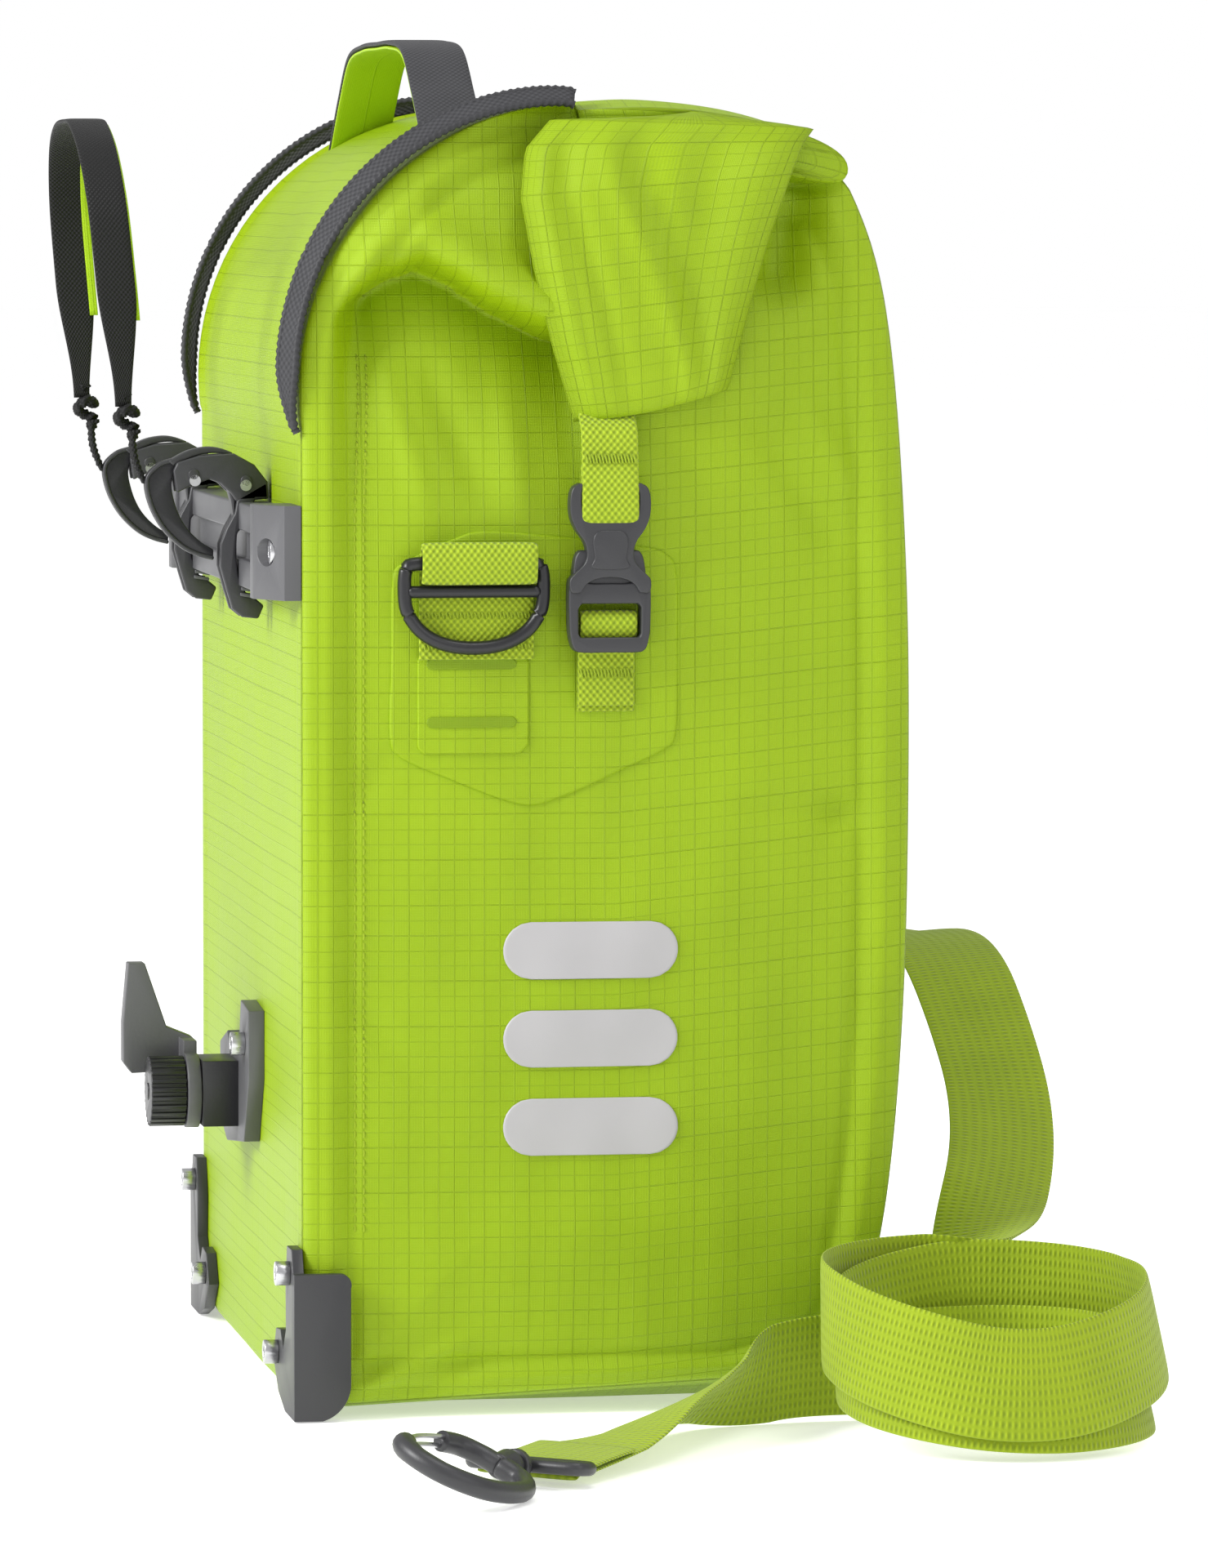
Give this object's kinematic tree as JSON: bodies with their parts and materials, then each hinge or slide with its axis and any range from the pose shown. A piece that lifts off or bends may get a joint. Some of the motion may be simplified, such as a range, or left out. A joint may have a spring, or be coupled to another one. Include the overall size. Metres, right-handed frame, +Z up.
{
  "type": "pannier bag",
  "caption": "Roll-top bicycle pannier with sprung rack hooks on a rail, a lower anti-sway clamp, corner guards, side-release buckles, a carry handle and a clip-on shoulder strap",
  "frame": {"origin": "centre of the base of the bag with its hooks, clamp and pull strap; the shoulder strap is left out of that box", "axes": "+X runs along the width of the bag and the rack, +Y points out of the rack side, +Z is up and the bag stands on z = 0"},
  "size_m": [0.5597, 0.3547, 0.484],
  "materials": {
    "ripstop_fabric": "coated ripstop with a raised square grid",
    "patch_fabric": "smooth coated fabric, welded",
    "green_lining": "smooth tape",
    "woven_trim": "diamond-woven tape",
    "grey_webbing": "ribbed webbing",
    "lime_webbing": "ribbed webbing",
    "strap_webbing": "flat woven webbing",
    "black_webbing": "ribbed webbing",
    "reflective_print": "reflective film",
    "charcoal_plastic": "moulded, fine texture",
    "black_plastic": "moulded",
    "grey_plastic": "moulded, light texture",
    "rail_plastic": "extruded",
    "board_plastic": "sheet",
    "steel": "zinc plated"
  },
  "bodies": {
    "bag": {"back_panel": "ripstop_fabric", "base_panel": "ripstop_fabric", "outer_panel": "ripstop_fabric", "end_panel_left": "ripstop_fabric", "end_panel_right": "ripstop_fabric", "roll_closure": "ripstop_fabric", "roll_end_left": "ripstop_fabric", "roll_end_right": "ripstop_fabric", "side_patch_left": "patch_fabric", "side_patch_right": "patch_fabric", "fabric_label": "patch_fabric", "handle_lining": "green_lining", "edge_trim_left": "woven_trim", "edge_trim_right": "woven_trim", "carry_handle": "grey_webbing", "lower_webbing_left": "lime_webbing", "lower_webbing_right": "lime_webbing", "ring_webbing_left": "lime_webbing", "ring_webbing_right": "lime_webbing", "strap_back": "strap_webbing", "strap_coil": "strap_webbing", "strap_front": "strap_webbing", "reflective_bars_left": "reflective_print", "reflective_bars_right": "reflective_print", "buckle_socket_left": "charcoal_plastic", "buckle_socket_right": "charcoal_plastic", "corner_guard_left": "charcoal_plastic", "corner_guard_right": "charcoal_plastic", "front_snap_loop": "charcoal_plastic", "clamp_carriage": "black_plastic", "rail_housing_left": "grey_plastic", "rail_housing_right": "grey_plastic", "clamp_plate": "grey_plastic", "hook_rail": "rail_plastic", "back_board": "board_plastic", "rail_screws": "steel", "clamp_screws": "steel", "guard_screws": "steel", "inside_nuts": "steel"},
    "lever_left": {"hook_lever_left": "charcoal_plastic"},
    "lever_right": {"hook_lever_right": "charcoal_plastic"},
    "hook_left": {"rack_hook_left": "charcoal_plastic", "hook_pins_left": "steel"},
    "hook_right": {"rack_hook_right": "charcoal_plastic", "hook_pins_right": "steel"},
    "pull_loop": {"pull_strap": "black_webbing"},
    "finger": {"clamp_finger": "grey_plastic"},
    "knob": {"clamp_knob": "black_plastic"},
    "ring_left": {"d_ring_left": "black_plastic"},
    "ring_right": {"d_ring_right": "black_plastic", "back_snap_ring": "charcoal_plastic"},
    "back_hook_loop": {"back_snap_loop": "charcoal_plastic"},
    "back_hook_gate": {"back_snap_gate": "steel"},
    "front_hook_ring": {"front_snap_ring": "charcoal_plastic"},
    "front_hook_gate": {"front_snap_gate": "steel"},
    "tongue_left": {"buckle_tongue_left": "charcoal_plastic", "upper_webbing_left": "lime_webbing"},
    "tongue_right": {"buckle_tongue_right": "charcoal_plastic", "upper_webbing_right": "lime_webbing"}
  },
  "joints": [
    {"name": "hook_left_slide", "type": "slide", "parent": "bag", "child": "hook_left", "axis": [1, 0, 0], "range_m": [-0.02, 0.02]},
    {"name": "hook_right_slide", "type": "slide", "parent": "bag", "child": "hook_right", "axis": [1, 0, 0], "range_m": [-0.02, 0.02]},
    {"name": "lever_left_hinge", "type": "hinge", "parent": "hook_left", "child": "lever_left", "pos_m": [-0.06, 0.10445, 0.3258], "axis": [1, 0, 0], "range_deg": [0, 35], "stiffness_Nm_per_rad": 0.05, "springref_deg": -17.19},
    {"name": "lever_right_hinge", "type": "hinge", "parent": "hook_right", "child": "lever_right", "pos_m": [0.08, 0.10445, 0.3258], "axis": [1, 0, 0], "range_deg": [0, 35], "stiffness_Nm_per_rad": 0.05, "springref_deg": -17.19},
    {"name": "pull_loop_slide", "type": "slide", "parent": "hook_left", "child": "pull_loop", "axis": [0, 0, 1], "range_m": [0, 0.012]},
    {"name": "finger_hinge", "type": "hinge", "parent": "bag", "child": "finger", "pos_m": [0, 0.09855, 0.1005], "axis": [0, 1, 0], "range_deg": [-90, 90]},
    {"name": "knob_hinge", "type": "hinge", "parent": "bag", "child": "knob", "pos_m": [0, 0.10775, 0.1005], "axis": [0, 1, 0], "continuous": true},
    {"name": "ring_left_hinge", "type": "hinge", "parent": "bag", "child": "ring_left", "pos_m": [-0.1548, 0.01775, 0.288], "axis": [0, 1, 0], "range_deg": [0, 150]},
    {"name": "ring_right_hinge", "type": "hinge", "parent": "bag", "child": "ring_right", "pos_m": [0.1548, 0.01775, 0.288], "axis": [0, -1, 0], "range_deg": [0, 8]},
    {"name": "back_hook_swivel", "type": "hinge", "parent": "ring_right", "child": "back_hook_loop", "pos_m": [0.1733, 0.0177, 0.219], "axis": [0, 0, 1], "continuous": true},
    {"name": "back_gate_hinge", "type": "hinge", "parent": "ring_right", "child": "back_hook_gate", "pos_m": [0.1908, 0.0177, 0.2411], "axis": [0, -1, 0], "range_deg": [0, 25], "stiffness_Nm_per_rad": 0.03, "springref_deg": -17.19},
    {"name": "front_hook_swivel", "type": "hinge", "parent": "bag", "child": "front_hook_ring", "pos_m": [-0.31179, 0.02894, 0.0043], "axis": [-0.8087, 0.5882, 0], "continuous": true},
    {"name": "front_gate_hinge", "type": "hinge", "parent": "front_hook_ring", "child": "front_hook_gate", "pos_m": [-0.31961, 0.05627, 0.0043], "axis": [0, 0, 1], "range_deg": [0, 25], "stiffness_Nm_per_rad": 0.03, "springref_deg": -17.19},
    {"name": "tongue_left_slide", "type": "slide", "parent": "bag", "child": "tongue_left", "axis": [0, 0, 1], "range_m": [0, 0.018]},
    {"name": "tongue_right_slide", "type": "slide", "parent": "bag", "child": "tongue_right", "axis": [0, 0, 1], "range_m": [0, 0.018]}
  ],
  "couplings": [
    {"joint": "hook_right_slide", "follows": "hook_left_slide", "ratio": 1},
    {"joint": "lever_left_hinge", "follows": "pull_loop_slide", "rad_per_m": 50.8},
    {"joint": "lever_right_hinge", "follows": "pull_loop_slide", "rad_per_m": 50.8}
  ]
}
